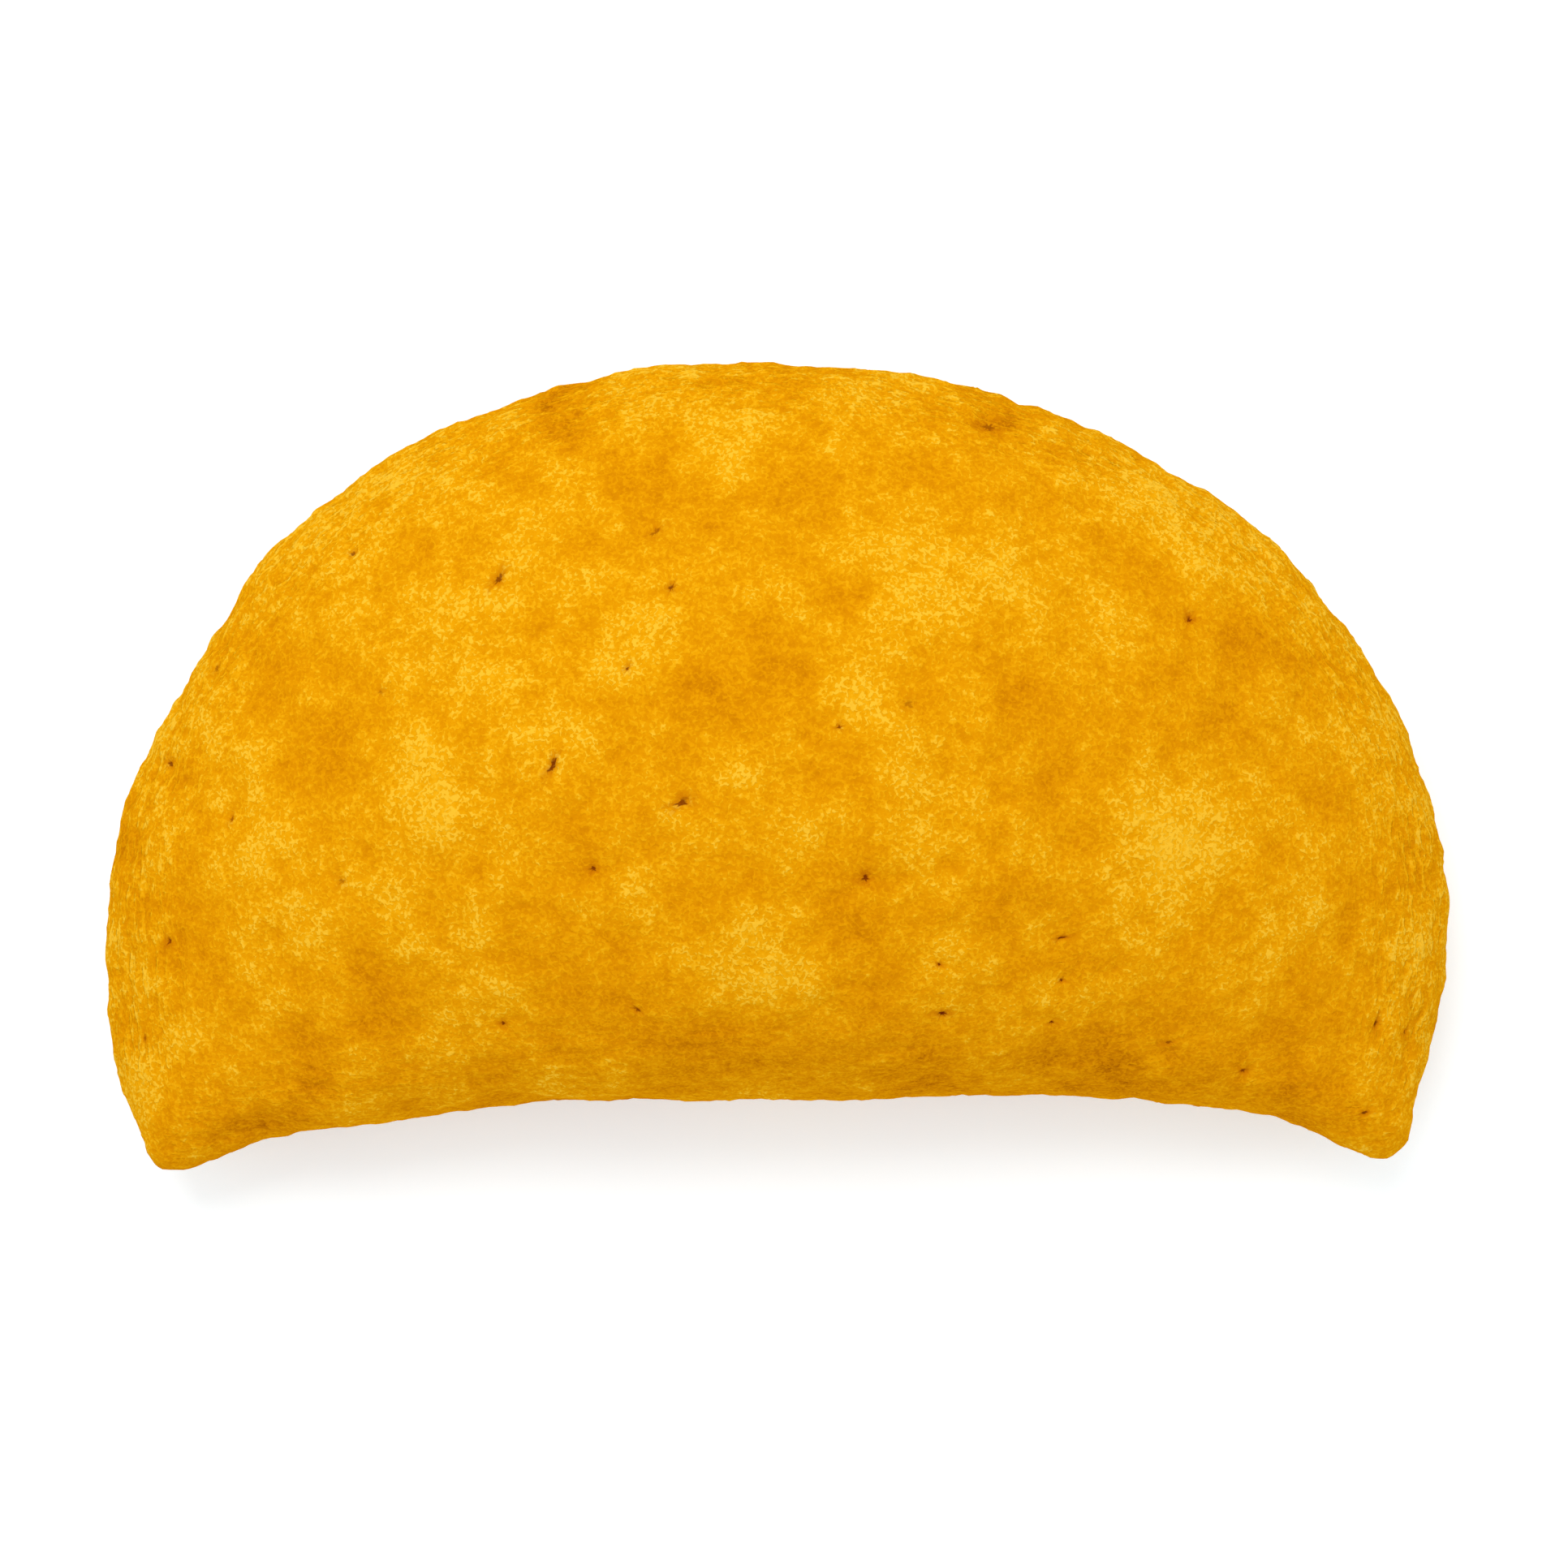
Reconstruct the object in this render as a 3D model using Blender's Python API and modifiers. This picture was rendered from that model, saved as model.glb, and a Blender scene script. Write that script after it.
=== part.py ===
"""A fried corn-dough empanada: one folded half-moon turnover, lying on its belly.

Metres, +Z up. X runs along the fold from tip to tip, and +Y points from the fold to the
rounded seam edge. The origin is at the centre of the footprint, on the resting surface.
"""
from math import atan2, cos, degrees, exp, hypot, pi, radians, sin, sqrt

import bmesh
import bpy
import numpy as np
from mathutils import Vector

MM = 0.001

# Plan of the half-moon, in millimetres about the middle of its box.
ARC_CENTRE = (-0.2, -11.3)
ARC_HALF_LENGTH = 60.4
ARC_RISE = 48.2
LEG_RISE = 72.8
# Where fingers flattened the pressed edge or left it proud: angle, depth inward in mm, spread of the angle.
EDGE_PRESSES = (
    (-17.0, 1.7, 6.0),
    (16.0, 1.1, 17.0),
    (48.0, 0.5, 8.0),
    (115.0, -0.6, 19.0),
    (160.0, 1.9, 13.0),
)
# Y of the fold's straight middle, and how it curls to each tip: drop, half length, power.
FOLD_LEVEL = -28.8
LEFT_CURL = (7.3, 53.4, 2.8)
RIGHT_CURL = (5.9, 53.0, 6.4)
# Creases across the fold: place along X, rise, spread.
FOLD_CREASES = (
    (-44.0, 1.4, 3.2),
    (-18.0, -0.25, 9.0),
    (6.5, -0.5, 4.5),
    (22.0, 0.2, 8.0),
)
TIP_ROUNDING = 3.0

# Heights, in millimetres.
SEAM_HEIGHT = 13.2
TIP_DROOP = 2.6
SEAM_WANDER = 0.7
SEAM_WAVES = 3.0
SEAM_PHASE = 0.6
SEAM_RADIUS = 3.2
FOLD_RADIUS = 6.8
FOLD_REACH = 11.0
TOP_SWELL = 21.4
BELLY_SWELL = 16.4
SEAM_TAPER = 0.78
FOLD_ROUNDING = 0.57
FOLD_ROLL = 11.0
SWELL_CENTRE = (0.0, -8.0)
SPINE_SHARE = 0.6
# Lumps of filling that show through the upper crust: x, y, rise, spread.
FILLING_LUMPS = (
    (-31.0, -1.0, 0.9, 11.0),
    (-14.0, 14.0, -0.6, 9.0),
    (-6.0, -11.0, -0.8, 8.0),
    (13.0, 11.0, 0.9, 13.0),
    (31.0, -6.0, -0.7, 8.0),
    (40.0, 6.0, 0.6, 9.0),
    (17.0, -17.0, 0.5, 9.0),
)

# Cage: cells along each edge of the starting cube, which must be even.
CAGE_CELLS = 14
SHOULDER = 0.64
RIM_CROWDING = 1.8
OUTLINE_STEPS = 240
TIP_STEPS = 16
ANGLE_STEP = radians(0.05)
TINY = 1e-6

CRUST_COLOUR = (0.831, 0.352, 0.003, 1.0)
CRUST_ROUGHNESS = 0.5


def clear_scene():
    for item in list(bpy.data.objects):
        bpy.data.objects.remove(item, do_unlink=True)


def arc_reach(angle):
    """Distance from the arc's centre to the seam edge, in the direction of an angle in radians."""
    rise = ARC_RISE if sin(angle) > 0.0 else LEG_RISE
    reach = 1.0 / hypot(cos(angle) / ARC_HALF_LENGTH, sin(angle) / rise)
    for place, depth, spread in EDGE_PRESSES:
        reach -= depth * exp(-((degrees(angle) - place) / spread) ** 2)
    return reach


def arc_point(angle):
    reach = arc_reach(angle)
    return Vector((ARC_CENTRE[0] + reach * cos(angle), ARC_CENTRE[1] + reach * sin(angle)))


def fold_level(x):
    """Y of the folded edge: nearly straight in the middle and curling down to both tips."""
    drop, half, power = LEFT_CURL if x < 0.0 else RIGHT_CURL
    level = FOLD_LEVEL - drop * (abs(x) / half) ** power
    for place, rise, spread in FOLD_CREASES:
        level += rise * exp(-((x - place) / spread) ** 2)
    return level


def tip_angle(start, step):
    """Angle at which the seam edge, followed from start, runs down into the fold."""
    angle = start
    point = arc_point(angle)
    while point.y > fold_level(point.x):
        angle += step
        point = arc_point(angle)
    return angle


def rounded_tip(before, corner, after):
    """Points of a curve that leaves one edge and joins the next round the corner between them."""
    points = []
    for i in range(1, TIP_STEPS):
        t = i / TIP_STEPS
        points.append(before * (1 - t) ** 2 + corner * 2 * t * (1 - t) + after * t ** 2)
    return points


def outline():
    """The whole edge as one closed loop of points, anticlockwise from the middle of the fold."""
    right = tip_angle(0.0, -ANGLE_STEP)
    left = tip_angle(pi, ANGLE_STEP)
    right_corner = arc_point(right)
    left_corner = arc_point(left)
    back = TIP_ROUNDING / ARC_HALF_LENGTH

    fold_x = np.linspace(left_corner.x + TIP_ROUNDING, right_corner.x - TIP_ROUNDING, OUTLINE_STEPS)
    fold = [Vector((x, fold_level(x))) for x in fold_x]
    arc = [arc_point(a) for a in np.linspace(right + back, left - back, 2 * OUTLINE_STEPS)]
    right_tip = rounded_tip(fold[-1], right_corner, arc[0])
    left_tip = rounded_tip(arc[-1], left_corner, fold[0])
    middle = len(fold) // 2
    return fold[middle:] + right_tip + arc + left_tip + fold[:middle]


def outline_tools():
    """Two functions: the edge point at a fraction of the way round, and how far a point is from the edge."""
    loop = outline()
    loop.append(loop[0])
    xs = np.array([p.x for p in loop])
    ys = np.array([p.y for p in loop])
    travelled = np.concatenate([[0.0], np.cumsum(np.hypot(np.diff(xs), np.diff(ys)))])
    travelled /= travelled[-1]

    def sample(fraction):
        share = fraction % 1.0
        return Vector((np.interp(share, travelled, xs), np.interp(share, travelled, ys)))

    def distance(place):
        return float(np.hypot(xs - place.x, ys - place.y).min())

    return sample, distance


def swell(x, y):
    """How full the turnover is at a place in plan: 0 on its edge and close to 1 in the middle."""
    dx = x - ARC_CENTRE[0]
    dy = y - ARC_CENTRE[1]
    angle = atan2(dy, dx)
    if angle < -pi / 2:
        angle += 2 * pi
    arc_share = max(0.0, 1.0 - (hypot(dx, dy) / arc_reach(angle)) ** 2)
    from_fold = max(0.0, y - fold_level(x))
    fold_share = 1.0 - exp(-from_fold / FOLD_ROLL)
    return arc_share ** SEAM_TAPER * fold_share ** FOLD_ROUNDING


def seam_height(x, y):
    """Height of the pressed seam, which droops to the tips and wanders a little."""
    angle = atan2(y - ARC_CENTRE[1], x)
    droop = TIP_DROOP * (x / ARC_HALF_LENGTH) ** 2
    wander = SEAM_WANDER * sin(SEAM_WAVES * angle + SEAM_PHASE) * abs(x) / ARC_HALF_LENGTH
    return SEAM_HEIGHT - droop + wander


def edge_height(x, y, depth_in):
    """Half thickness of the rounded edge, which is thin along the seam and thick along the fold."""
    from_fold = max(0.0, y - fold_level(x))
    radius = SEAM_RADIUS + (FOLD_RADIUS - SEAM_RADIUS) * exp(-from_fold / FOLD_REACH)
    left = max(0.0, 1.0 - depth_in / radius)
    return radius * sqrt(1.0 - left * left)


def lump_height(x, y):
    return sum(rise * exp(-(hypot(x - px, y - py) / spread) ** 2) for px, py, rise, spread in FILLING_LUMPS)


def square_share(x, y):
    """Fraction of the way round a square, anticlockwise from the middle of its lower side."""
    if abs(x) > abs(y):
        eighths = 2.0 + y / x if x > 0.0 else 6.0 + y / x
    else:
        eighths = 4.0 - x / y if y > 0.0 else -x / min(y, -TINY)
    return eighths / 8.0


def shaped(corner, sample, distance):
    """Place in the turnover of one point of the cube that spans -1 to 1 each way."""
    ring = max(abs(corner.x), abs(corner.y))
    on_side = abs(corner.z) < 1.0 - TINY
    reach = 1.0 - (1.0 - SHOULDER) * abs(corner.z) ** RIM_CROWDING if on_side else SHOULDER * ring
    rim = sample(square_share(corner.x, corner.y))
    hub = Vector(SWELL_CENTRE)
    hub.x += SPINE_SHARE * (rim.x - hub.x) * reach
    plan = hub + (rim - hub) * reach
    height = seam_height(plan.x, plan.y)
    if abs(corner.z) > TINY:
        edge = edge_height(plan.x, plan.y, distance(plan))
        fullness = swell(plan.x, plan.y)
    if corner.z > TINY:
        height += hypot(edge, (TOP_SWELL + lump_height(plan.x, plan.y)) * fullness)
    elif corner.z < -TINY:
        height = max(0.0, height - hypot(edge, BELLY_SWELL * fullness))
    return Vector((plan.x, plan.y, height)) * MM


def cage_mesh():
    """A cube cut into even cells, with its middle belt pulled out to the edge of the half-moon."""
    mesh = bpy.data.meshes.new("empanada")
    cage = bmesh.new()
    bmesh.ops.create_cube(cage, size=2.0)
    bmesh.ops.subdivide_edges(cage, edges=cage.edges[:], cuts=CAGE_CELLS - 1, use_grid_fill=True)
    sample, distance = outline_tools()
    places = [shaped(vert.co, sample, distance) for vert in cage.verts]
    for vert, place in zip(cage.verts, places):
        vert.co = place
    bmesh.ops.recalc_face_normals(cage, faces=cage.faces[:])
    cage.to_mesh(mesh)
    cage.free()
    mesh.shade_smooth()
    return mesh


def crust_material():
    material = bpy.data.materials.new("fried_corn_crust")
    material.use_nodes = True
    shader = material.node_tree.nodes["Principled BSDF"]
    shader.inputs["Base Color"].default_value = CRUST_COLOUR
    shader.inputs["Roughness"].default_value = CRUST_ROUGHNESS
    shader.inputs["Metallic"].default_value = 0.0
    return material


def centre_on_footprint(item):
    """Move the cage so that the smooth form stands over the origin, on the resting surface."""
    bpy.context.view_layer.update()
    smooth = item.evaluated_get(bpy.context.evaluated_depsgraph_get())
    corners = np.array([vert.co[:] for vert in smooth.data.vertices])
    low = corners.min(axis=0)
    high = corners.max(axis=0)
    foot = Vector(((low[0] + high[0]) / 2, (low[1] + high[1]) / 2, low[2]))
    for vert in item.data.vertices:
        vert.co -= foot


def build_empanada(collection):
    item = bpy.data.objects.new("empanada", cage_mesh())
    collection.objects.link(item)
    item.data.materials.append(crust_material())
    smoothing = item.modifiers.new("smoothing", "SUBSURF")
    smoothing.levels = 1
    smoothing.render_levels = 1
    centre_on_footprint(item)
    return item


def main():
    clear_scene()
    collection = bpy.data.collections.new("Empanada")
    bpy.context.scene.collection.children.link(collection)
    build_empanada(collection)


main()
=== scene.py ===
from math import cos, radians, sin

import bmesh
import bpy
import numpy as np
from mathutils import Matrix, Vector
from mathutils.bvhtree import BVHTree


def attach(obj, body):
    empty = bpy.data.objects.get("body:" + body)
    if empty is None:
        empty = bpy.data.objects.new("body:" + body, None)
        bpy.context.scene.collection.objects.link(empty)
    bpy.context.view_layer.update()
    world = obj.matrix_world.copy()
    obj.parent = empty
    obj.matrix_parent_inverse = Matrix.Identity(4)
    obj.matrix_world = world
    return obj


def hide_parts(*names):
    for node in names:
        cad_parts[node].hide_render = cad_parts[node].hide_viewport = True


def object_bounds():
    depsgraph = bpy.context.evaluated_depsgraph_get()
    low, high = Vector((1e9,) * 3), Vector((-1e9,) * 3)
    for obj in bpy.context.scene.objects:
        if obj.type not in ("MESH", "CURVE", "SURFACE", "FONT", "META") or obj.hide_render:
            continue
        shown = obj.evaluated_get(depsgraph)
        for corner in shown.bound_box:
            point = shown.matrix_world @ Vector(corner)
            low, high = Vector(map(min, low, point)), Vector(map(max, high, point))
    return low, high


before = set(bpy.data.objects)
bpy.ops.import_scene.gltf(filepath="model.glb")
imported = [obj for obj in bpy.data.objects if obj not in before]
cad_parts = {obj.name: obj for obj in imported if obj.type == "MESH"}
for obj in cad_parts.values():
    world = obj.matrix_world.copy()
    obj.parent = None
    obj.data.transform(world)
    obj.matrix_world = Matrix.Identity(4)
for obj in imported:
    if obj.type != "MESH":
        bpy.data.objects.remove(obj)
cadLow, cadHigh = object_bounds()
mm = 0.001


def linear(hexColour):
    # sRGB hex to the linear colour that the shaders take
    channels = []
    for place in (1, 3, 5):
        share = int(hexColour[place:place + 2], 16) / 255
        channels.append(share / 12.92 if share <= 0.04045 else ((share + 0.055) / 1.055) ** 2.4)
    return (*channels, 1.0)


def addNode(tree, kind, inputs=None, **settings):
    # inputs are named or counted sockets, each given a value, a socket or a node's first output
    node = tree.nodes.new(kind)
    for name, value in settings.items():
        setattr(node, name, value)
    for key, value in (inputs or {}).items():
        if isinstance(key, str):
            socket = [item for item in node.inputs if item.name == key and item.enabled][0]
        else:
            socket = node.inputs[key]
        if isinstance(value, bpy.types.Node):
            value = value.outputs[0]
        if isinstance(value, bpy.types.NodeSocket):
            tree.links.new(value, socket)
        else:
            socket.default_value = value
    return node


def addObject(name, data):
    item = bpy.data.objects.new(name, data)
    bpy.context.scene.collection.objects.link(item)
    return item


def bakedMesh(item, name):
    # the object's modifiers worked out into a plain mesh, after which the object is gone
    bpy.context.view_layer.update()
    solved = item.evaluated_get(bpy.context.evaluated_depsgraph_get())
    mesh = bpy.data.meshes.new_from_object(solved)
    mesh.name = name
    bpy.data.objects.remove(item, do_unlink=True)
    return mesh


# The half-moon crust. Lengths are in mm, and a pair is where a band starts and where it is full.
crust = {
    "voxel": 0.56,
    "quickVoxel": 0.8,
    "weldReach": 0.01,
    "flatAngle": 35,  # degrees up to which two triangles count as one face
    "squareAngle": 80,
    "rounding": 2,
    "settling": 5,
    "softening": 2,
    "smoothing": 0.5,
    # the plan's two edges
    "arcMiddle": (-0.2, -11.3),
    "arcHalfLength": 60.2,
    "arcRise": 48.0,
    "legRise": 72.8,
    "foldLevel": -29.0,
    "tipDrop": 6.4,
    "tipPlace": 53.0,
    "tipCurl": 4.0,
    # bands along them: shares of the arc, or mm from the fold, from the middle and from the table
    "seamBand": (0.78, 0.98),
    "seamStart": (2.0, 14.0),
    "foldBand": (0.0, 11.0),
    "tips": (42.0, 54.0),
    "offTable": (0.05, 1.6),
    "flowLength": 50.0,
    # where fingers pressed the edge in while folding: x, y, radius, depth, out again when negative
    "foldPress": 0.38,
    "presses": (
        (-59, -33, 4.5, 0.8), (-45.6, -32.5, 2.8, 0.6), (-26, -29, 11, 0.22), (47, -31, 9, 0.4),
        (47, 20.5, 10, 0.25), (56, -34, 2.3, -0.45), (-46, 18, 5, -0.2), (-55.2, -35.8, 2.0, -0.4),
        (-50.5, -34.5, 2.5, 0.35), (-40.5, -31, 3.5, -0.4),
    ),
    # relief: name, grain size, height, stretch of its pattern, where it shows
    "seed": 4.0,
    "detail": 1.0,
    "layers": (
        ("lumps", 15.0, 1.3, (1.0, 1.0, 1.0), None),
        ("lobes", 6.0, 1.2, (1.0, 1.0, 1.0), None),
        ("pebbles", 2.6, 0.42, (1.0, 1.0, 1.0), None),
        ("meal", 1.25, 0.42, (1.0, 1.0, 1.0), None),
        ("foldCreases", 1.2, 0.5, (0.2, 1.0, 1.0), "foldBand"),
        ("seamCreases", 1.2, 0.8, (0.35, 1.0, 1.0), "seamBand"),
        ("seamBeads", 1.5, 0.4, (1.0, 1.0, 1.0), "seamBand"),
    ),
}


def addSmoothing(item, rounds):
    smoothing = item.modifiers.new("smoothing", "SMOOTH")
    smoothing.factor = crust["smoothing"]
    smoothing.iterations = rounds


def makeBase():
    # the CAD solid welded, rounded off between its facets and cut into even small faces
    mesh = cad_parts["empanada"].data.copy()
    mesh.materials.clear()
    welded = bmesh.new()
    welded.from_mesh(mesh)
    bmesh.ops.remove_doubles(welded, verts=welded.verts[:], dist=crust["weldReach"] * mm)
    bmesh.ops.join_triangles(
        welded,
        faces=welded.faces[:],
        angle_face_threshold=radians(crust["flatAngle"]),
        angle_shape_threshold=radians(crust["squareAngle"]),
    )
    welded.to_mesh(mesh)
    welded.free()
    item = addObject("crustBase", mesh)
    rounding = item.modifiers.new("rounding", "SUBSURF")
    rounding.levels = crust["rounding"]
    rounding.render_levels = crust["rounding"]
    evening = item.modifiers.new("evening", "REMESH")
    evening.mode = "VOXEL"
    evening.voxel_size = crust["voxel"] * mm
    addSmoothing(item, crust["settling"])
    holding = item.modifiers.new("holding", "SHRINKWRAP")
    holding.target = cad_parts["empanada"]
    addSmoothing(item, crust["softening"])
    return bakedMesh(item, "crustBase")


# Steam vents: where gas broke through the crust in the oil
vents = {
    # read from above: x, y, half width and half length in mm, angle in degrees, darkness
    "shown": (
        (-24.7, 16.9, 0.26, 1.05, 58, 0.8), (-37.7, 19.1, 0.2, 0.35, 20, 0.7),
        (-10.8, 21.0, 0.3, 0.7, 50, 0.5), (-9.3, 16.0, 0.24, 0.42, 75, 0.8),
        (-13.2, 8.8, 0.17, 0.38, 70, 0.8), (-35.4, 6.8, 0.22, 0.35, 0, 0.4),
        (-49.9, 8.9, 0.22, 0.4, 60, 0.45), (-54.3, 0.5, 0.3, 0.4, 80, 0.8),
        (-19.9, 0.1, 0.26, 0.85, 65, 0.9), (-8.5, -3.2, 0.34, 0.8, 25, 0.85),
        (19.0, 30.7, 0.5, 0.6, 0, 0.6), (36.9, 13.3, 0.34, 0.42, 30, 0.9), (5.6, 3.6, 0.18, 0.3, 40, 0.8),
        (11.8, 5.7, 0.35, 0.5, 0, 0.35), (-16.4, -9.1, 0.28, 0.34, 10, 0.85),
        (-38.7, -10.1, 0.3, 0.5, 30, 0.45), (-48.6, -4.6, 0.2, 0.34, 80, 0.6),
        (-54.1, -15.4, 0.26, 0.36, 60, 0.8), (-24.4, -23.1, 0.2, 0.4, 100, 0.85),
        (-12.4, -21.8, 0.2, 0.5, 130, 0.8), (7.9, -10.0, 0.32, 0.4, 60, 0.9),
        (25.4, -15.3, 0.15, 0.5, 20, 0.95), (14.5, -17.6, 0.2, 0.22, 0, 0.95),
        (25.5, -19.1, 0.2, 0.22, 0, 0.95), (14.8, -22.1, 0.36, 0.38, 0, 1.0),
        (24.6, -22.9, 0.18, 0.24, 160, 0.9), (35.0, -24.6, 0.16, 0.4, 20, 0.6),
        (41.6, -27.4, 0.26, 0.36, 20, 0.8), (52.4, -31.0, 0.16, 0.42, 20, 0.8),
        (53.5, -22.8, 0.17, 0.6, 70, 0.8), (56.3, -23.5, 0.18, 0.5, 60, 0.6),
        (-56.3, -24.0, 0.22, 0.4, 80, 0.5),
    ),
    "steps": 10,  # places on the crust in each mm
    "shownSize": 0.88,
    # finer faces round each vent: half width in mm and cuts
    "fineReach": 1.1,
    "fineCuts": 2,
    # the scattered ones, on faces that don't look up
    "spacing": 9.0,
    "density": 16000.0,
    "steepest": 0.3,
    "seed": 11,
    "halfWidth": (0.14, 0.32),
    "stretch": (1.1, 2.6),
    "darkness": (0.45, 0.95),
    # a shallow bowl in mm, and a pit whose width counts in the vent's own half widths
    "bowlWidth": 1.5,
    "bowlDepth": 0.2,
    "pitWidth": 1.25,
    "pitDepth": 0.34,
    "mark": (1.9, 2.9),  # how far its browning reaches, gone before the next vent's begins
}


def scatterVents(mesh):
    # a few more vents on the sides and the underside, where none was listed
    item = addObject("ventScatter", mesh.copy())
    tree = bpy.data.node_groups.new("scatterVents", "GeometryNodeTree")
    face = tree.interface
    face.new_socket("Geometry", in_out="INPUT", socket_type="NodeSocketGeometry")
    sockets = {}
    for name, kind in (("Spacing", "Float"), ("Density", "Float"), ("Steepest", "Float"), ("Seed", "Int")):
        sockets[name] = face.new_socket(name, in_out="INPUT", socket_type="NodeSocket" + kind).identifier
    face.new_socket("Geometry", in_out="OUTPUT", socket_type="NodeSocketGeometry")
    given = addNode(tree, "NodeGroupInput")
    normal = addNode(tree, "GeometryNodeInputNormal")
    height = addNode(tree, "ShaderNodeSeparateXYZ", {0: normal})
    turned = addNode(tree, "FunctionNodeCompare", {
        "A": height.outputs["Z"], "B": given.outputs["Steepest"],
    }, operation="LESS_THAN")
    points = addNode(tree, "GeometryNodeDistributePointsOnFaces", {
        "Mesh": given.outputs["Geometry"],
        "Selection": turned,
        "Distance Min": given.outputs["Spacing"],
        "Density Max": given.outputs["Density"],
        "Seed": given.outputs["Seed"],
    }, distribute_method="POISSON")
    dots = addNode(tree, "GeometryNodePointsToVertices", {"Points": points})
    real = addNode(tree, "GeometryNodeRealizeInstances", {"Geometry": dots})
    addNode(tree, "NodeGroupOutput", {"Geometry": real})
    scatter = item.modifiers.new("scatter", "NODES")
    scatter.node_group = tree
    scatter[sockets["Spacing"]] = vents["spacing"] * mm
    scatter[sockets["Density"]] = vents["density"]
    scatter[sockets["Steepest"]] = vents["steepest"]
    scatter[sockets["Seed"]] = vents["seed"]
    dotMesh = bakedMesh(item, "ventScatter")
    return [vert.co.copy() for vert in dotMesh.vertices]


def storeField(mesh, name, values):
    kind = "FLOAT" if values.ndim == 1 else "FLOAT_VECTOR"
    field = mesh.attributes.new(name, kind, "POINT")
    field.data.foreach_set("value" if kind == "FLOAT" else "vector", values.astype(np.float32).ravel())


def cameraPlace():
    distance = studio["frameWidth"] * studio["lens"] / studio["sensor"]
    return (Vector(studio["aim"]) + Vector((0, 0, distance))) * mm


def onCrust(surface, x, y, steps):
    # a place read from above on the level of the aim, taken down its line of sight to the crust
    eye = cameraPlace()
    sight = Vector((x, y, studio["aim"][2])) * mm - eye
    hit = surface.ray_cast(eye, sight.normalized())[0]
    if hit is None:
        return x, y
    return round(hit.x / mm * steps) / steps, round(hit.y / mm * steps) / steps


def placeVents(mesh, surface):
    # one point for each vent, with its sizes, as a mesh that the relief reads
    centres, alongs, widths, lengths, tones = [], [], [], [], []
    for readX, readY, width, length, angle, tone in vents["shown"]:
        x, y = onCrust(surface, readX, readY, vents["steps"])
        above = Vector((x * mm, y * mm, 2 * cadHigh[2]))
        centres.append(surface.ray_cast(above, Vector((0, 0, -1)))[0])
        alongs.append((cos(radians(angle)), sin(radians(angle)), 0.0))
        widths.append(width * vents["shownSize"])
        lengths.append(length * vents["shownSize"])
        tones.append(tone)
    draw = np.random.default_rng(vents["seed"])
    for centre in scatterVents(mesh):
        direction = draw.normal(size=3)
        width = draw.uniform(*vents["halfWidth"])
        centres.append(centre)
        alongs.append(direction / np.linalg.norm(direction))
        widths.append(width)
        lengths.append(width * draw.uniform(*vents["stretch"]))
        tones.append(draw.uniform(*vents["darkness"]))
    points = bpy.data.meshes.new("ventPoints")
    points.from_pydata(centres, [], [])
    storeField(points, "along", np.array(alongs))
    storeField(points, "halfWidth", np.array(widths) * mm)
    storeField(points, "halfLength", np.array(lengths) * mm)
    storeField(points, "tone", np.array(tones))
    print("vents:", len(centres))
    return addObject("ventPoints", points)


def refineNear(mesh, points):
    # finer faces round each vent, so that its pit is cut in real geometry
    fine = bmesh.new()
    fine.from_mesh(mesh)
    places = np.array([v.co[:] for v in fine.verts])
    chosen = np.zeros(len(places), dtype=bool)
    for vert in points.data.vertices:
        chosen |= np.abs(places - np.array(vert.co[:])).max(axis=1) < vents["fineReach"] * mm
    edges = [e for e in fine.edges if chosen[e.verts[0].index] and chosen[e.verts[1].index]]
    bmesh.ops.subdivide_edges(fine, edges=edges, cuts=vents["fineCuts"], use_grid_fill=True)
    fine.to_mesh(mesh)
    fine.free()


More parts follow.
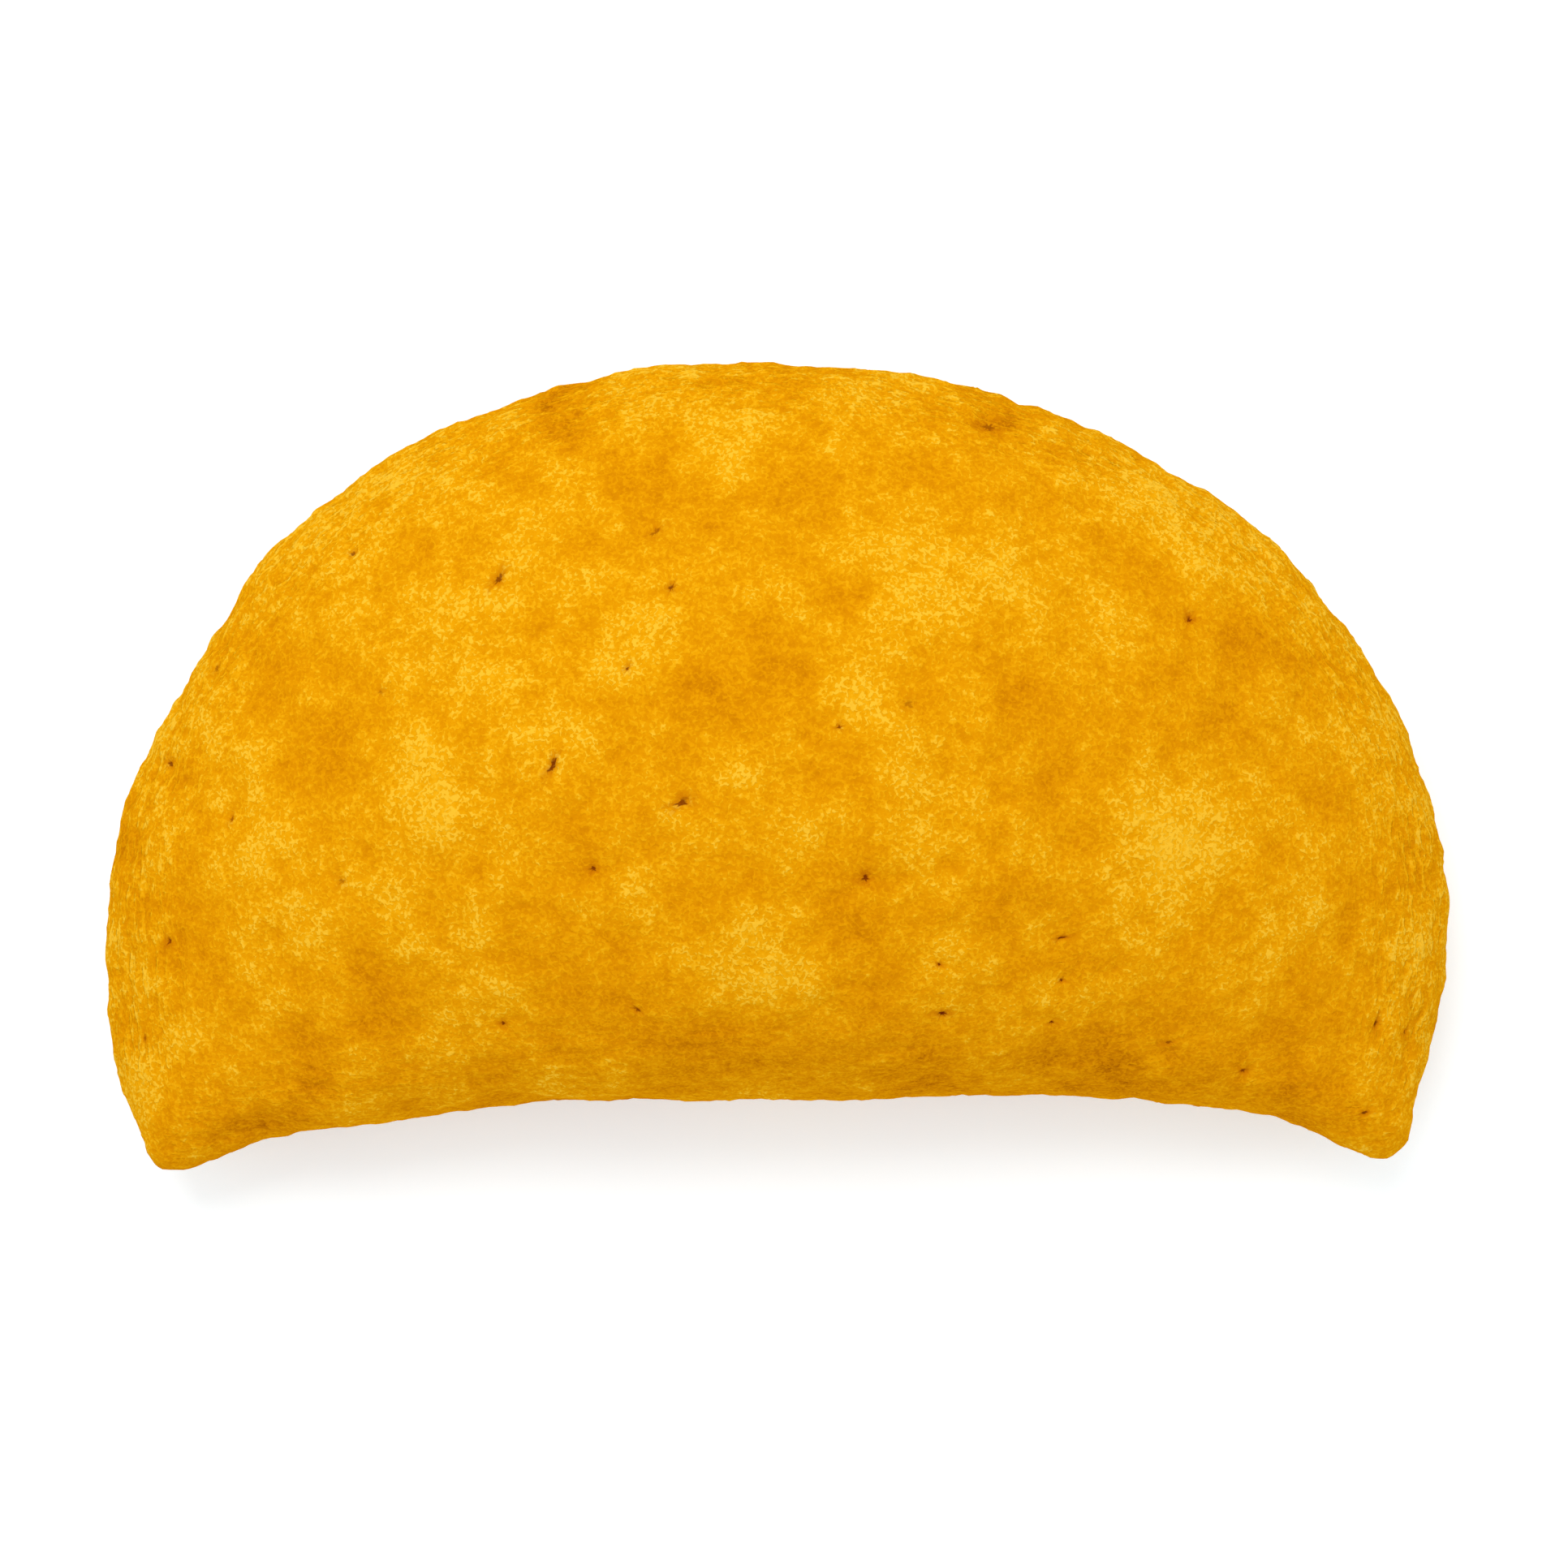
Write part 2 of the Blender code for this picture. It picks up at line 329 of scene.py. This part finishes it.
# Precooked maize dough, fried: a saturated amber where oil reached it, and a powdery pale yellow where milled
# meal kept the oil off. The meal takes the shine away all over.
# The studio light is strong, so every shade sits a step darker here than it shows.
crustLook = {
    # where it browned more or stayed pale, read from above: x, y, radius in mm, amount
    "toasted": (
        (-19, 31, 8, 0.6), (-9, 22, 3.5, 0.8), (1, 23, 4, 0.5), (49, 11, 6, 0.7), (20, 3, 6, 0.6),
        (-4, 7, 8, 0.5), (-19, -1, 5, 0.6), (-7, -11, 4, 0.7), (-22, -13, 5, 0.7), (27, -8, 7, 0.85),
        (-35, -20, 3.5, 0.9), (-51, -15, 5, 0.5), (-38, 1, 3, 0.7), (38, -21, 5, 0.7), (7, -15, 4.5, 0.6),
        (19.5, 31, 2.2, 0.6), (-4, 12, 4.5, 0.7), (-20, 8, 3.5, 0.3), (-53, 0, 3, 0.4), (46, -3, 4, 0.4),
        (7, -4, 4, 0.9), (36, -27, 5, 0.7), (0, -22, 5, 0.35),
    ),
    "steps": 2,  # places on the crust in each mm
    "pale": (
        (-31, -4, 6, 1.1), (-34, 6, 6, 0.9), (-25, 12, 8, 1.15), (-11, -4, 4, 1.1), (-51, -4, 4, 1.2),
        (-6, 26, 3.5, 0.8), (-19, 26, 3.5, 0.6), (14, 12, 9, 1.35), (28, 12, 4.5, 0.7), (-33, -26, 5, 0.55),
        (-53, -30, 5, 0.8), (53, -30, 5, 0.6), (35, 23, 4.5, 0.9), (23, 28, 4.5, 0.8), (38, -5, 5, 1.0),
        (34, -11, 4.5, 0.9), (21, -1, 5, 0.5), (15, -5, 4.5, 0.6), (0, -16, 4.5, 0.7), (-13, -11, 4, 0.6),
        (-30, -15, 4.5, 0.7), (-34, -10, 4, 0.6), (1, 19, 4, 0.4), (52, -7, 3.5, 0.5), (12, -25, 3, 0.5),
        (47, -14, 4, 0.4), (-46, -3, 4, 0.6), (-47, 12, 5, 0.5),
    ),
    "facingUp": (-0.1, 0.4),
    "shades": (
        (0.0, "#A05A02"), (0.2, "#BE7402"), (0.36, "#CB8102"), (0.52, "#D48C03"),
        (0.68, "#DB9706"), (0.84, "#E1A210"), (1.0, "#E6B12B"),
    ),
    # size in mm, detail, roughness, distortion, stretch, how much it lifts the shade, whether along the seam
    # milled meal is 0.2 mm and finer, so flecks and streaks are drawn coarser than that to show
    "patterns": {
        "zones": (14.0, 2.0, 0.5, 0.0, (1.0, 1.0, 1.0), 0.45, False),
        "patches": (4.4, 2.0, 0.75, 0.0, (1.0, 1.0, 1.0), 0.66, False),
        "mottle": (0.95, 2.0, 0.9, 0.0, (1.0, 1.0, 1.0), 0.57, False),
        "flakes": (1.3, 3.0, 0.75, 0.8, (1.0, 1.0, 1.0), 0.0, False),
        "flecks": (0.34, 0.0, 0.5, 0.7, (1.0, 1.0, 1.0), 0.0, False),
        "threads": (0.8, 0.0, 0.5, 0.8, (1.0, 1.0, 1.0), 0.0, False),
        "seamStreaks": (0.55, 2.0, 0.7, 0.4, (0.3, 1.0, 1.0), 0.0, True),
        "foldStreaks": (0.55, 2.0, 0.7, 0.4, (0.35, 1.0, 1.0), 0.0, False),
        "ventEdge": (0.5, 1.0, 0.6, 0.0, (1.0, 1.0, 1.0), 0.0, False),
    },
    # foldBand darkens towards the fold: partly the crust's deeper fry there, partly painted shade where the
    # crust turns under
    # lift darkens the relief's dips and pales its crests: painted shade and painted light
    # seamBand pales the rim: painted light on its sides, which turn away from the overhead lamps
    "fields": (("toasted", -0.12), ("pale", 0.14), ("seamBand", 0.1), ("foldBand", -0.13), ("lift", 0.35)),
    "level": 0.49,
    # where each pattern is cut, and how much of it is seen
    "mealCut": (0.42, 0.72),
    "dusting": (0.5, 0.5),  # share of the flecks all over, and what meal adds to it
    "threadWidth": 0.09,
    "threadShare": 0.15,
    "fleckCut": (0.46, 0.6),
    "grainShare": 0.34,
    "flakeCut": (0.52, 0.62),
    "flakeShare": 0.06,
    "streakCut": (0.46, 0.66),
    "streakLevels": (-0.3, 0.7),
    "streakBands": (("seamStreaks", "seamBand", 1.0), ("foldStreaks", "foldBand", 0.5)),
    "streakShare": 0.36,
    # vents: colour, from and to in the vent's half widths, amount, then how ragged and how starry they are
    "ventHalo": ("#B05803", 0.6, 3.0, 0.5),
    "ventCore": ("#702804", 0.4, 0.95, 1.0),
    "ventRagged": 1.6,
    "armSize": 1.7,
    "armTurn": 40.0,  # each vent its own star
    "armCut": (0.34, 0.66),
    "armReach": (0.65, 1.3),
    "roughness": (0.42, 0.58),
    "roughnessCut": (0.3, 0.7),
    "specular": 0.0,
    "bumps": {"mottle": 0.16, "grain": 0.03, "streak": 0.1},  # heights in mm
}


def smoothStep(low, high, value):
    share = np.clip((value - low) / (high - low), 0.0, 1.0)
    return share * share * (3 - 2 * share)


def spotField(spots, x, y):
    total = np.zeros_like(x)
    for spotX, spotY, radius, amount in spots:
        total += amount * np.exp(-((x - spotX) ** 2 + (y - spotY) ** 2) / radius ** 2)
    return total


def storeZones(mesh, surface):
    # browning and the bands beside both edges, for the relief and for the crust's colour
    places = np.empty(len(mesh.vertices) * 3, dtype=np.float32)
    mesh.vertices.foreach_get("co", places)
    x, y, z = (places.reshape(-1, 3) / mm).T
    normals = np.empty(len(mesh.vertices) * 3, dtype=np.float32)
    mesh.vertex_normals.foreach_get("vector", normals)
    shown = smoothStep(*crustLook["facingUp"], normals.reshape(-1, 3)[:, 2])
    middleX, middleY = crust["arcMiddle"]
    rise = np.where(y > middleY, crust["arcRise"], crust["legRise"])
    share = np.hypot((x - middleX) / crust["arcHalfLength"], (y - middleY) / rise)  # 1 on the seam edge
    angle = np.arctan2(x - middleX, y - middleY)  # jumps under the fold, where no seam shows
    fold = crust["foldLevel"] - crust["tipDrop"] * (np.abs(x) / crust["tipPlace"]) ** crust["tipCurl"]
    fromFold = y - fold
    foldBand = 1.0 - smoothStep(*crust["foldBand"], fromFold)
    betweenTips = 1.0 - smoothStep(*crust["tips"], np.abs(x))
    seamBand = smoothStep(*crust["seamBand"], share) * smoothStep(*crust["seamStart"], fromFold)
    flow = np.stack([angle * crust["flowLength"], share * crust["flowLength"], z], axis=1)
    pressed = spotField(crust["presses"], x, y) + crust["foldPress"] * foldBand * betweenTips
    for name in ("toasted", "pale"):
        spots = []
        for readX, readY, radius, amount in crustLook[name]:
            spots.append((*onCrust(surface, readX, readY, crustLook["steps"]), radius, amount))
        storeField(mesh, name, spotField(spots, x, y) * shown)
    storeField(mesh, "pressed", pressed)
    storeField(mesh, "seamBand", seamBand)
    storeField(mesh, "foldBand", foldBand)
    storeField(mesh, "seamFlow", flow)
    storeField(mesh, "offTable", smoothStep(*crust["offTable"], z))


def reliefTree():
    tree = bpy.data.node_groups.new("crustRelief", "GeometryNodeTree")
    face = tree.interface
    face.new_socket("Geometry", in_out="INPUT", socket_type="NodeSocketGeometry")
    wanted = [
        ("Vents", "Object"), ("Crust", "Material"), ("Seed", "Float"), ("Bowl width", "Float"),
        ("Bowl depth", "Float"), ("Pit width", "Float"), ("Pit depth", "Float"), ("Mark start", "Float"),
        ("Mark end", "Float"),
    ]
    wanted += [(layer[0] + " height", "Float") for layer in crust["layers"]]
    sockets = {}
    for name, kind in wanted:
        sockets[name] = face.new_socket(name, in_out="INPUT", socket_type="NodeSocket" + kind).identifier
    face.new_socket("Geometry", in_out="OUTPUT", socket_type="NodeSocketGeometry")
    given = addNode(tree, "NodeGroupInput")
    place = addNode(tree, "GeometryNodeInputPosition")
    normal = addNode(tree, "GeometryNodeInputNormal")
    placeMm = addNode(tree, "ShaderNodeVectorMath", {0: place, "Scale": 1 / mm}, operation="SCALE")
    fields = {}
    for name, kind in (
        ("seamFlow", "FLOAT_VECTOR"), ("seamBand", "FLOAT"), ("foldBand", "FLOAT"), ("pressed", "FLOAT"),
        ("offTable", "FLOAT"), ("position", "FLOAT_VECTOR"), ("along", "FLOAT_VECTOR"),
        ("halfWidth", "FLOAT"), ("halfLength", "FLOAT"), ("tone", "FLOAT"),
    ):
        fields[name] = addNode(tree, "GeometryNodeInputNamedAttribute", {"Name": name}, data_type=kind)

    total = None
    for name, size, height, stretch, where in crust["layers"]:
        pattern = fields["seamFlow"] if name == "seamCreases" else placeMm
        stretched = addNode(tree, "ShaderNodeVectorMath", {0: pattern, 1: stretch}, operation="MULTIPLY")
        noise = addNode(tree, "ShaderNodeTexNoise", {
            "Vector": stretched, "W": given.outputs["Seed"], "Scale": 1 / size, "Detail": crust["detail"],
        }, noise_dimensions="4D")
        centred = addNode(tree, "ShaderNodeMath", {0: noise, 1: 0.5}, operation="SUBTRACT")
        part = addNode(tree, "ShaderNodeMath", {
            0: centred, 1: given.outputs[name + " height"],
        }, operation="MULTIPLY")
        if where:
            part = addNode(tree, "ShaderNodeMath", {0: part, 1: fields[where]}, operation="MULTIPLY")
        total = addNode(tree, "ShaderNodeMath", {0: total, 1: part}) if total else part
    # the relief height in mm, which the colour turns into painted shade in dips and painted light on crests
    lift = addNode(tree, "ShaderNodeMath", {0: total, 1: 1 / mm}, operation="MULTIPLY")
    total = addNode(tree, "ShaderNodeMath", {
        0: fields["pressed"], 1: -mm, 2: total,
    }, operation="MULTIPLY_ADD")

    # the nearest vent's own frame: offset from its middle, counted in half widths
    vent = addNode(tree, "GeometryNodeObjectInfo", {"Object": given.outputs["Vents"]})
    nearest = addNode(tree, "GeometryNodeSampleNearest", {
        "Geometry": vent.outputs["Geometry"], "Sample Position": place,
    })
    found = {}
    for name in ("position", "along", "halfWidth", "halfLength", "tone"):
        found[name] = addNode(tree, "GeometryNodeSampleIndex", {
            "Geometry": vent.outputs["Geometry"], "Value": fields[name], "Index": nearest,
        }, data_type=fields[name].data_type)
    delta = addNode(tree, "ShaderNodeVectorMath", {0: place, 1: found["position"]}, operation="SUBTRACT")
    reach = addNode(tree, "ShaderNodeVectorMath", {0: delta, 1: found["along"]}, operation="DOT_PRODUCT")
    perWidth = addNode(tree, "ShaderNodeMath", {0: 1.0, 1: found["halfWidth"]}, operation="DIVIDE")
    perLength = addNode(tree, "ShaderNodeMath", {0: 1.0, 1: found["halfLength"]}, operation="DIVIDE")
    narrower = addNode(tree, "ShaderNodeMath", {0: perWidth, 1: perLength}, operation="SUBTRACT")
    shrink = addNode(tree, "ShaderNodeMath", {0: reach.outputs["Value"], 1: narrower}, operation="MULTIPLY")
    wide = addNode(tree, "ShaderNodeVectorMath", {0: delta, "Scale": perWidth}, operation="SCALE")
    back = addNode(tree, "ShaderNodeVectorMath", {0: found["along"], "Scale": shrink}, operation="SCALE")
    spot = addNode(tree, "ShaderNodeVectorMath", {0: wide, 1: back}, operation="SUBTRACT")

    # a shallow bowl and a narrow pit, both falling off as a bell
    for offset, name in ((delta, "Bowl"), (spot, "Pit")):
        length = addNode(tree, "ShaderNodeVectorMath", {0: offset}, operation="LENGTH")
        ratio = addNode(tree, "ShaderNodeMath", {
            0: length.outputs["Value"], 1: given.outputs[name + " width"],
        }, operation="DIVIDE")
        square = addNode(tree, "ShaderNodeMath", {0: ratio, 1: 2.0}, operation="POWER")
        minus = addNode(tree, "ShaderNodeMath", {0: square, 1: -1.0}, operation="MULTIPLY")
        bell = addNode(tree, "ShaderNodeMath", {0: minus}, operation="EXPONENT")
        toned = addNode(tree, "ShaderNodeMath", {0: bell, 1: found["tone"]}, operation="MULTIPLY")
        drop = addNode(tree, "ShaderNodeMath", {
            0: toned, 1: given.outputs[name + " depth"],
        }, operation="MULTIPLY")
        total = addNode(tree, "ShaderNodeMath", {0: total, 1: drop}, operation="SUBTRACT")
    kept = addNode(tree, "ShaderNodeMath", {0: total, 1: fields["offTable"]}, operation="MULTIPLY")
    offset = addNode(tree, "ShaderNodeVectorMath", {0: normal, "Scale": kept}, operation="SCALE")

    # what the colour reads of the vents, and the relief height, which it paints as shade in the dips and
    # light on the crests
    away = addNode(tree, "ShaderNodeVectorMath", {0: delta}, operation="LENGTH")
    near = addNode(tree, "ShaderNodeMapRange", {
        "Value": away.outputs["Value"], "From Min": given.outputs["Mark start"],
        "From Max": given.outputs["Mark end"], "To Min": 1.0, "To Max": 0.0,
    })
    nearTone = addNode(tree, "ShaderNodeMath", {0: near, 1: found["tone"]}, operation="MULTIPLY")
    shaped = given.outputs["Geometry"]
    for name, value, kind in (
        ("ventSpot", spot, "FLOAT_VECTOR"), ("ventTone", nearTone, "FLOAT"), ("lift", lift, "FLOAT"),
    ):
        shaped = addNode(tree, "GeometryNodeStoreNamedAttribute", {
            "Geometry": shaped, "Name": name, "Value": value,
        }, data_type=kind, domain="POINT")
    moved = addNode(tree, "GeometryNodeSetPosition", {"Geometry": shaped, "Offset": offset})
    smooth = addNode(tree, "GeometryNodeSetShadeSmooth", {"Geometry": moved})
    real = addNode(tree, "GeometryNodeRealizeInstances", {"Geometry": smooth})
    coated = addNode(tree, "GeometryNodeSetMaterial", {
        "Geometry": real, "Material": given.outputs["Crust"],
    })
    addNode(tree, "NodeGroupOutput", {"Geometry": coated})
    return tree, sockets


def crustMaterial():
    # Map Range takes its value, from, from, to and to as sockets 0 to 4
    material = bpy.data.materials.new("friedCornDoughCrust")
    material.use_nodes = True
    tree = material.node_tree
    shader = tree.nodes["Principled BSDF"]
    coords = addNode(tree, "ShaderNodeTexCoord")
    place = addNode(tree, "ShaderNodeVectorMath", {
        0: coords.outputs["Object"], "Scale": 1 / mm,
    }, operation="SCALE")
    fields = {}
    for name in ("toasted", "pale", "seamBand", "foldBand", "lift", "seamFlow", "ventSpot", "ventTone"):
        fields[name] = addNode(tree, "ShaderNodeAttribute", attribute_name=name, attribute_type="GEOMETRY")
    spot = fields["ventSpot"].outputs["Vector"]
    tone = fields["ventTone"].outputs["Fac"]

    noise = {}
    shade = crustLook["level"]
    for name, (size, detail, rough, distortion, stretch, share, alongSeam) in crustLook["patterns"].items():
        source = fields["seamFlow"].outputs["Vector"] if alongSeam else place
        stretched = addNode(tree, "ShaderNodeVectorMath", {0: source, 1: stretch}, operation="MULTIPLY")
        noise[name] = addNode(tree, "ShaderNodeTexNoise", {
            "Vector": stretched, "Scale": 1 / size, "Detail": detail, "Roughness": rough,
            "Distortion": distortion,
        })
        if share:
            lift = addNode(tree, "ShaderNodeMath", {0: noise[name], 1: 0.5}, operation="SUBTRACT")
            shade = addNode(tree, "ShaderNodeMath", {0: lift, 1: share, 2: shade}, operation="MULTIPLY_ADD")
    for name, share in crustLook["fields"]:
        value = fields[name].outputs["Fac"]
        shade = addNode(tree, "ShaderNodeMath", {0: value, 1: share, 2: shade}, operation="MULTIPLY_ADD")
    low, high = crustLook["mealCut"]
    meal = addNode(tree, "ShaderNodeMapRange", {0: shade, 1: low, 2: high}, interpolation_type="SMOOTHSTEP")

    # short curled flecks of meal all over, and a few longer threads where it is pale
    side = addNode(tree, "ShaderNodeMath", {0: noise["threads"], 1: 0.5}, operation="SUBTRACT")
    away = addNode(tree, "ShaderNodeMath", {0: side}, operation="ABSOLUTE")
    line = addNode(tree, "ShaderNodeMapRange", {
        0: away, 1: 0.0, 2: crustLook["threadWidth"], 3: 1.0, 4: 0.0,
    }, interpolation_type="SMOOTHSTEP")
    thread = addNode(tree, "ShaderNodeMath", {0: line, 1: meal}, operation="MULTIPLY")
    low, high = crustLook["fleckCut"]
    fleck = addNode(tree, "ShaderNodeMapRange", {
        0: noise["flecks"], 1: low, 2: high,
    }, interpolation_type="SMOOTHSTEP")
    allOver, onMeal = crustLook["dusting"]
    dusting = addNode(tree, "ShaderNodeMath", {0: meal, 1: onMeal, 2: allOver}, operation="MULTIPLY_ADD")
    dusted = addNode(tree, "ShaderNodeMath", {0: fleck, 1: dusting}, operation="MULTIPLY")
    grain = addNode(tree, "ShaderNodeMath", {
        0: thread, 1: crustLook["threadShare"], 2: dusted,
    }, operation="MULTIPLY_ADD")
    low, high = crustLook["flakeCut"]
    cut = addNode(tree, "ShaderNodeMapRange", {
        0: noise["flakes"], 1: low, 2: high,
    }, interpolation_type="SMOOTHSTEP")
    flake = addNode(tree, "ShaderNodeMath", {0: cut, 1: dusting}, operation="MULTIPLY")

    # raised streaks along both edges
    streak = 0.0
    low, high = crustLook["streakCut"]
    bottom, top = crustLook["streakLevels"]
    for name, band, strength in crustLook["streakBands"]:
        crest = addNode(tree, "ShaderNodeMapRange", {
            0: noise[name], 1: low, 2: high, 3: bottom * strength, 4: top * strength,
        }, interpolation_type="SMOOTHSTEP")
        streak = addNode(tree, "ShaderNodeMath", {
            0: crest, 1: fields[band].outputs["Fac"], 2: streak,
        }, operation="MULTIPLY_ADD")
    for pattern, name in ((grain, "grainShare"), (flake, "flakeShare"), (streak, "streakShare")):
        shade = addNode(tree, "ShaderNodeMath", {
            0: pattern, 1: crustLook[name], 2: shade,
        }, operation="MULTIPLY_ADD")

    ramp = addNode(tree, "ShaderNodeValToRGB", {"Fac": shade})
    stops = ramp.color_ramp.elements
    for number, (position, hexColour) in enumerate(crustLook["shades"]):
        stop = stops[number] if number < 2 else stops.new(position)
        stop.position = position
        stop.color = linear(hexColour)
    colour = ramp.outputs["Color"]

    # vents: a browned halo and a dark torn core
    warp = addNode(tree, "ShaderNodeVectorMath", {
        0: noise["ventEdge"].outputs["Color"], 1: (0.5, 0.5, 0.5),
    }, operation="SUBTRACT")
    warped = addNode(tree, "ShaderNodeVectorMath", {
        0: warp, 1: (crustLook["ventRagged"],) * 3, 2: spot,
    }, operation="MULTIPLY_ADD")
    length = addNode(tree, "ShaderNodeVectorMath", {0: warped}, operation="LENGTH")
    way = addNode(tree, "ShaderNodeVectorMath", {0: spot}, operation="NORMALIZE")
    turn = addNode(tree, "ShaderNodeMath", {0: tone, 1: crustLook["armTurn"]}, operation="MULTIPLY")
    arms = addNode(tree, "ShaderNodeTexNoise", {
        "Vector": way, "W": turn, "Scale": crustLook["armSize"], "Detail": 0.0,
    }, noise_dimensions="4D")
    low, high = crustLook["armCut"]
    short, long = crustLook["armReach"]
    arm = addNode(tree, "ShaderNodeMapRange", {
        0: arms, 1: low, 2: high, 3: short, 4: long,
    }, interpolation_type="SMOOTHSTEP")
    distance = addNode(tree, "ShaderNodeMath", {0: length.outputs["Value"], 1: arm}, operation="MULTIPLY")
    for name in ("ventHalo", "ventCore"):
        hexColour, inner, outer, amount = crustLook[name]
        mark = addNode(tree, "ShaderNodeMapRange", {
            0: distance, 1: inner, 2: outer, 3: amount, 4: 0.0,
        }, interpolation_type="SMOOTHSTEP")
        share = addNode(tree, "ShaderNodeMath", {0: mark, 1: tone}, operation="MULTIPLY")
        mixed = addNode(tree, "ShaderNodeMix", {
            0: share, 6: colour, 7: linear(hexColour),
        }, data_type="RGBA")
        colour = mixed.outputs[2]
    tree.links.new(colour, shader.inputs["Base Color"])

    low, high = crustLook["roughnessCut"]
    smooth, rough = crustLook["roughness"]
    matt = addNode(tree, "ShaderNodeMapRange", {
        0: shade, 1: low, 2: high, 3: smooth, 4: rough,
    }, interpolation_type="SMOOTHSTEP")
    tree.links.new(matt.outputs[0], shader.inputs["Roughness"])

    # fine bump in mm
    height = 0.0
    for name, pattern in (("mottle", noise["mottle"]), ("grain", grain), ("streak", streak)):
        height = addNode(tree, "ShaderNodeMath", {
            0: pattern, 1: crustLook["bumps"][name], 2: height,
        }, operation="MULTIPLY_ADD")
    bump = addNode(tree, "ShaderNodeBump", {"Height": height, "Strength": 1.0, "Distance": mm})
    tree.links.new(bump.outputs[0], shader.inputs["Normal"])
    shader.inputs["Specular IOR Level"].default_value = crustLook["specular"]
    return material


def fitIntoFrame(mesh):
    # the relief moves the outermost points a little, so the whole is eased back to the CAD box
    places = np.empty(len(mesh.vertices) * 3, dtype=np.float32)
    mesh.vertices.foreach_get("co", places)
    points = places.reshape(-1, 3).astype(np.float64)
    low, high = points.min(axis=0), points.max(axis=0)
    wantedLow, wantedHigh = np.array(cadLow[:]), np.array(cadHigh[:])
    points = wantedLow + (points - low) / (high - low) * (wantedHigh - wantedLow)
    mesh.vertices.foreach_set("co", points.astype(np.float32).ravel())
    print("eased by mm:", np.round((low - wantedLow) / mm, 2), np.round((high - wantedHigh) / mm, 2))


def makeCrust():
    mesh = makeBase()
    print("base faces:", len(mesh.polygons))
    surface = BVHTree.FromPolygons([v.co for v in mesh.vertices], [p.vertices for p in mesh.polygons])
    points = placeVents(mesh, surface)
    refineNear(mesh, points)
    storeZones(mesh, surface)
    item = addObject("crust", mesh)
    tree, sockets = reliefTree()
    shaping = item.modifiers.new("relief", "NODES")
    shaping.node_group = tree
    markStart, markEnd = vents["mark"]
    values = {
        "Vents": points,
        "Crust": crustMaterial(),
        "Seed": crust["seed"],
        "Bowl width": vents["bowlWidth"] * mm,
        "Bowl depth": vents["bowlDepth"] * mm,
        "Pit width": vents["pitWidth"],
        "Pit depth": vents["pitDepth"] * mm,
        "Mark start": markStart * mm,
        "Mark end": markEnd * mm,
    }
    for name, size, height, stretch, where in crust["layers"]:
        values[name + " height"] = height * mm
    for name, value in values.items():
        shaping[sockets[name]] = value
    finished = bakedMesh(item, "crust")
    bpy.data.objects.remove(points, do_unlink=True)
    fitIntoFrame(finished)
    print("crust faces:", len(finished.polygons))
    return addObject("crust", finished)


# A white sheet on a light table, lit from the arc's side. The camera looks straight down, lengths in mm.
studio = {
    "paper": "#FDFDFC",
    "paperRoughness": 0.9,
    "paperSpecular": 0.1,
    "floorHalfWidth": 3000.0,
    "tableLight": "#AAE5FF",
    "tableStrength": 0.21,
    "sky": "#FFFFFF",
    "skyStrength": 0.92,
    # name, watts, place in m, side in m
    "lamps": (("key", 1.25, (-0.08, 0.26, 0.48), 0.3), ("fill", 0.05, (0.1, -0.35, 0.45), 0.3)),
    "lens": 120.0,
    "sensor": 36.0,
    "frameWidth": 139.2,
    "aim": (0.65, -1.52, 13.0),
    "clipStart": 10.0,
}


def makeStudio():
    floorMesh = bpy.data.meshes.new("floor")
    sheet = bmesh.new()
    bmesh.ops.create_grid(sheet, x_segments=1, y_segments=1, size=studio["floorHalfWidth"] * mm)
    sheet.to_mesh(floorMesh)
    sheet.free()
    floor = addObject("floor", floorMesh)
    paper = bpy.data.materials.new("seamlessPaper")  # matt and even, and its glow keeps the shadow faint
    paper.use_nodes = True
    for name, value in (
        ("Base Color", linear(studio["paper"])), ("Roughness", studio["paperRoughness"]),
        ("Specular IOR Level", studio["paperSpecular"]), ("Emission Color", linear(studio["tableLight"])),
        ("Emission Strength", studio["tableStrength"]),
    ):
        paper.node_tree.nodes["Principled BSDF"].inputs[name].default_value = value
    floorMesh.materials.append(paper)

    world = bpy.data.worlds.new("studioSky")
    world.use_nodes = True
    sky = world.node_tree.nodes["Background"]
    sky.inputs["Color"].default_value = linear(studio["sky"])
    sky.inputs["Strength"].default_value = studio["skyStrength"]
    bpy.context.scene.world = world

    for name, power, place, size in studio["lamps"]:
        lamp = bpy.data.lights.new(name, "AREA")
        lamp.energy = power
        lamp.size = size
        lampObject = addObject(name, lamp)
        lampObject.location = place
        lampObject.rotation_euler = (-Vector(place)).to_track_quat("-Z", "Y").to_euler()

    camera = bpy.data.cameras.new("camera")
    camera.lens = studio["lens"]
    camera.sensor_width = studio["sensor"]
    camera.clip_start = studio["clipStart"] * mm
    cameraObject = addObject("camera", camera)
    cameraObject.location = cameraPlace()
    bpy.context.scene.camera = cameraObject
    bpy.context.scene.view_settings.view_transform = "Standard"


crustPiece = makeCrust()
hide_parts("empanada")
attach(crustPiece, "root")
makeStudio()
print("studio ready")
